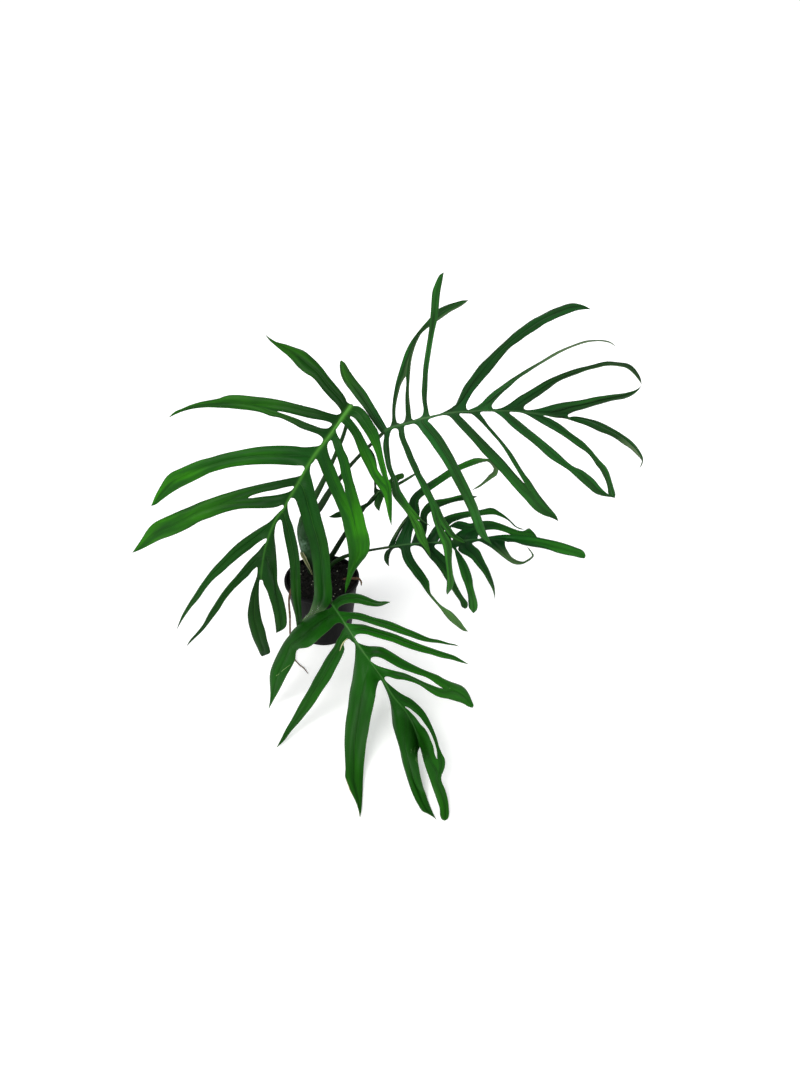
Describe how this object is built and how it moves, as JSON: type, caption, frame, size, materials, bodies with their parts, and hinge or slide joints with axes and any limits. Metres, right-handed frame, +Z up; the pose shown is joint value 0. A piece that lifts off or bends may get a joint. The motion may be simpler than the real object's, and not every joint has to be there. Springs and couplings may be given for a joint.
{
  "type": "potted aroid house plant",
  "caption": "Potted monstera croatii with deeply cut, hanging green leaves on arching stalks, growing from dark bark mix in a round black nursery pot.",
  "frame": {"origin": "middle of the pot's underside", "axes": "+Z up, -Y the side seen in the picture, +X to the right in the picture"},
  "size_m": [1.005, 0.7251, 0.7855],
  "materials": {
    "pot_plastic": "satin black injection-moulded plastic",
    "potting_mix": "damp dark bark and peat with perlite",
    "stem": "smooth with a pale bluish bloom",
    "dry_sheath": "papery, dry",
    "petiole": "smooth, slightly glossy",
    "blade_bright": "waxy, glossy above, paler below",
    "blade_blue_green": "waxy, glossy above, paler below",
    "blade_mid_green": "waxy, glossy above, paler below",
    "blade_dark": "waxy, glossy above, paler below",
    "blade_young": "waxy, thin",
    "root": "rough, fibrous"
  },
  "bodies": {
    "root": {"nursery_pot": "pot_plastic", "potting_mix": "potting_mix", "main_stem": "stem", "dry_sheath": "dry_sheath", "petiole_left": "petiole", "petiole_right": "petiole", "petiole_front": "petiole", "petiole_low_right": "petiole", "petiole_young": "petiole", "leaf_left": "blade_bright", "leaf_right": "blade_blue_green", "leaf_front": "blade_mid_green", "leaf_low_right": "blade_dark", "leaf_young": "blade_young", "aerial_root": "root", "surface_root": "root"}
  },
  "joints": []
}
